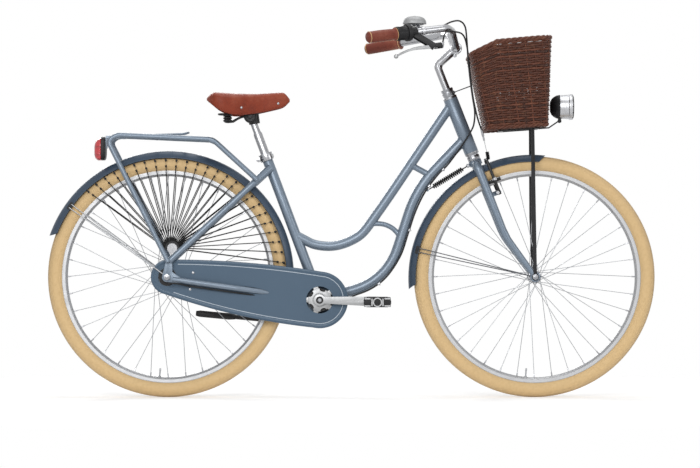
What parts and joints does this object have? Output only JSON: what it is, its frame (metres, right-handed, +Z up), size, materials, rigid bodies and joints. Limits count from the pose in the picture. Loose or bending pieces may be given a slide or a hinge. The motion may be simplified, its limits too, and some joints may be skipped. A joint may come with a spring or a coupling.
{
  "type": "bicycle",
  "caption": "Step-through city bicycle with two curved frame tubes, full chain case, mudguards, rear rack, skirt guards and a front basket.",
  "frame": {"origin": "on the ground under the middle of the wheelbase, in the middle plane of the wheels", "axes": "+X forwards, +Y to the rider's left, +Z up"},
  "size_m": [1.805, 0.6314, 1.1248],
  "materials": {
    "frame_paint": "metallic blue-grey lacquer",
    "guard_paint": "darker blue-grey lacquer",
    "case_plastic": "gloss blue-grey moulding",
    "polished_aluminium": "polished aluminium",
    "bright_steel": "bright plated steel",
    "lamp_shell": "bright metallised moulding",
    "black_steel": "satin black",
    "chain_steel": "oiled steel",
    "black_plastic": "matt black",
    "cable_sleeve": "black cable sleeve",
    "red_lens": "red lens",
    "tyre": "cream rubber",
    "saddle_leather": "red-brown leather",
    "grip_leather": "brown stitched leather",
    "wicker": "dark stained wicker"
  },
  "bodies": {
    "frame": {"head_tube": "frame_paint", "upper_frame_tube": "frame_paint", "lower_frame_tube": "frame_paint", "seat_tube": "frame_paint", "bottom_bracket_shell": "frame_paint", "headset_lower": "bright_steel", "headset_upper": "bright_steel", "chainstay_right": "frame_paint", "seatstay_right": "frame_paint", "chainstay_left": "frame_paint", "seatstay_left": "frame_paint", "rear_rack": "frame_paint", "tail_light_housing": "black_plastic", "tail_light_lens": "red_lens", "rear_mudguard": "guard_paint", "skirt_guard_right": "black_plastic", "skirt_guard_left": "black_plastic", "rear_axle": "bright_steel", "chain": "chain_steel", "chain_case_outer": "case_plastic", "chain_case_inner": "case_plastic", "seat_clamp_collar": "polished_aluminium", "steering_damper_spring": "black_steel", "shift_cable": "cable_sleeve"},
    "fork": {"fork": "frame_paint", "front_mudguard": "guard_paint", "front_axle": "bright_steel", "stem": "polished_aluminium", "handlebar": "polished_aluminium", "grip_right": "grip_leather", "grip_left": "grip_leather", "brake_lever_body": "black_plastic", "bell": "bright_steel", "basket": "wicker", "basket_support": "black_steel", "brake_cable": "cable_sleeve"},
    "front_wheel": {"front_tyre": "tyre", "front_rim": "polished_aluminium", "front_hub": "polished_aluminium"},
    "rear_wheel": {"rear_tyre": "tyre", "rear_rim": "polished_aluminium", "rear_hub": "polished_aluminium"},
    "rear_sprocket": {"rear_sprocket": "black_steel"},
    "crankset": {"crank_arm_left": "polished_aluminium", "chainring": "black_steel", "crank_arm_right": "polished_aluminium"},
    "pedal_right": {"pedal_right": "polished_aluminium"},
    "pedal_left": {"pedal_left": "polished_aluminium"},
    "kickstand": {"kickstand": "polished_aluminium"},
    "seat": {"seat_post": "polished_aluminium", "saddle_frame": "black_steel", "saddle_cover": "saddle_leather"},
    "seat_clamp_lever": {"seat_clamp_lever": "polished_aluminium"},
    "rack_clip": {"rack_spring_clip": "black_steel"},
    "twist_shifter": {"twist_shifter": "black_plastic"},
    "brake_lever": {"brake_lever_blade": "polished_aluminium"},
    "brake_arm_right": {"brake_arm_right": "black_steel"},
    "brake_arm_left": {"brake_arm_left": "black_steel"},
    "bell_lever": {"bell_lever": "black_plastic"},
    "headlight": {"headlight": "lamp_shell"}
  },
  "joints": [
    {"name": "steering", "type": "hinge", "parent": "frame", "child": "fork", "pos_m": [0.50868, 0, 0.34389], "axis": [-0.3665, 0, 0.9304], "range_deg": [-60, 60], "stiffness_Nm_per_rad": 1.2, "deforming": ["steering_damper_spring", "shift_cable"]},
    {"name": "front_wheel_spin", "type": "hinge", "parent": "fork", "child": "front_wheel", "pos_m": [0.5445, 0, 0.358], "axis": [0, 1, 0], "continuous": true},
    {"name": "rear_wheel_spin", "type": "hinge", "parent": "frame", "child": "rear_wheel", "pos_m": [-0.5445, 0, 0.358], "axis": [0, 1, 0], "continuous": true},
    {"name": "crank_spin", "type": "hinge", "parent": "frame", "child": "crankset", "pos_m": [-0.0935, 0, 0.29], "axis": [0, 1, 0], "continuous": true},
    {"name": "sprocket_spin", "type": "hinge", "parent": "frame", "child": "rear_sprocket", "pos_m": [-0.5445, -0.05, 0.358], "axis": [0, 1, 0], "continuous": true},
    {"name": "pedal_right_spin", "type": "hinge", "parent": "crankset", "child": "pedal_right", "pos_m": [0.07644, -0.135, 0.28555], "axis": [0, 1, 0], "continuous": true},
    {"name": "pedal_left_spin", "type": "hinge", "parent": "crankset", "child": "pedal_left", "pos_m": [-0.26344, 0.135, 0.29445], "axis": [0, 1, 0], "continuous": true},
    {"name": "kickstand_fold", "type": "hinge", "parent": "frame", "child": "kickstand", "pos_m": [-0.1885, 0.05, 0.27], "axis": [0, -0.9673, -0.2538], "range_deg": [0, 100]},
    {"name": "seat_height", "type": "slide", "parent": "frame", "child": "seat", "axis": [-0.3518, 0, 0.9361], "range_m": [-0.035, 0.06]},
    {"name": "seat_clamp_turn", "type": "hinge", "parent": "frame", "child": "seat_clamp_lever", "pos_m": [-0.27582, 0, 0.70542], "axis": [0, -1, 0], "range_deg": [0, 90]},
    {"name": "rack_clip_lift", "type": "hinge", "parent": "frame", "child": "rack_clip", "pos_m": [-0.5797, 0, 0.77288], "axis": [0, -1, 0], "range_deg": [0, 70], "stiffness_Nm_per_rad": 0.6, "springref_deg": -28.65},
    {"name": "gear_twist", "type": "hinge", "parent": "fork", "child": "twist_shifter", "pos_m": [0.14356, -0.25224, 1.06655], "axis": [-0.8754, -0.4655, -0.1305], "range_deg": [0, 75]},
    {"name": "brake_lever_pull", "type": "hinge", "parent": "fork", "child": "brake_lever", "pos_m": [0.24111, -0.23888, 1.03072], "axis": [-0.3151, 0.7542, -0.5761], "range_deg": [0, 22], "stiffness_Nm_per_rad": 0.8, "springref_deg": -22.92, "deforming": ["brake_cable"]},
    {"name": "brake_arm_right_close", "type": "hinge", "parent": "fork", "child": "brake_arm_right", "pos_m": [0.43374, -0.044, 0.60779], "axis": [0.9304, 0, 0.3665], "range_deg": [-2.2, 0], "stiffness_Nm_per_rad": 2, "springref_deg": 5.73, "deforming": ["brake_cable"]},
    {"name": "brake_arm_left_close", "type": "hinge", "parent": "fork", "child": "brake_arm_left", "pos_m": [0.43374, 0.044, 0.60779], "axis": [0.9304, 0, 0.3665], "range_deg": [0, 2.2], "stiffness_Nm_per_rad": 2, "springref_deg": -5.73, "deforming": ["brake_cable"]},
    {"name": "bell_lever_push", "type": "hinge", "parent": "fork", "child": "bell_lever", "pos_m": [0.18388, -0.19796, 1.09169], "axis": [0, 0, -1], "range_deg": [0, 35], "stiffness_Nm_per_rad": 0.02, "springref_deg": -28.65},
    {"name": "headlight_tilt", "type": "hinge", "parent": "fork", "child": "headlight", "pos_m": [0.6195, 0, 0.821], "axis": [0, 1, 0], "range_deg": [-8, 20]}
  ],
  "couplings": [
    {"joint": "sprocket_spin", "follows": "crank_spin", "ratio": 1.8333},
    {"joint": "brake_arm_left_close", "follows": "brake_lever_pull", "ratio": 0.09},
    {"joint": "brake_arm_right_close", "follows": "brake_lever_pull", "ratio": -0.09}
  ]
}
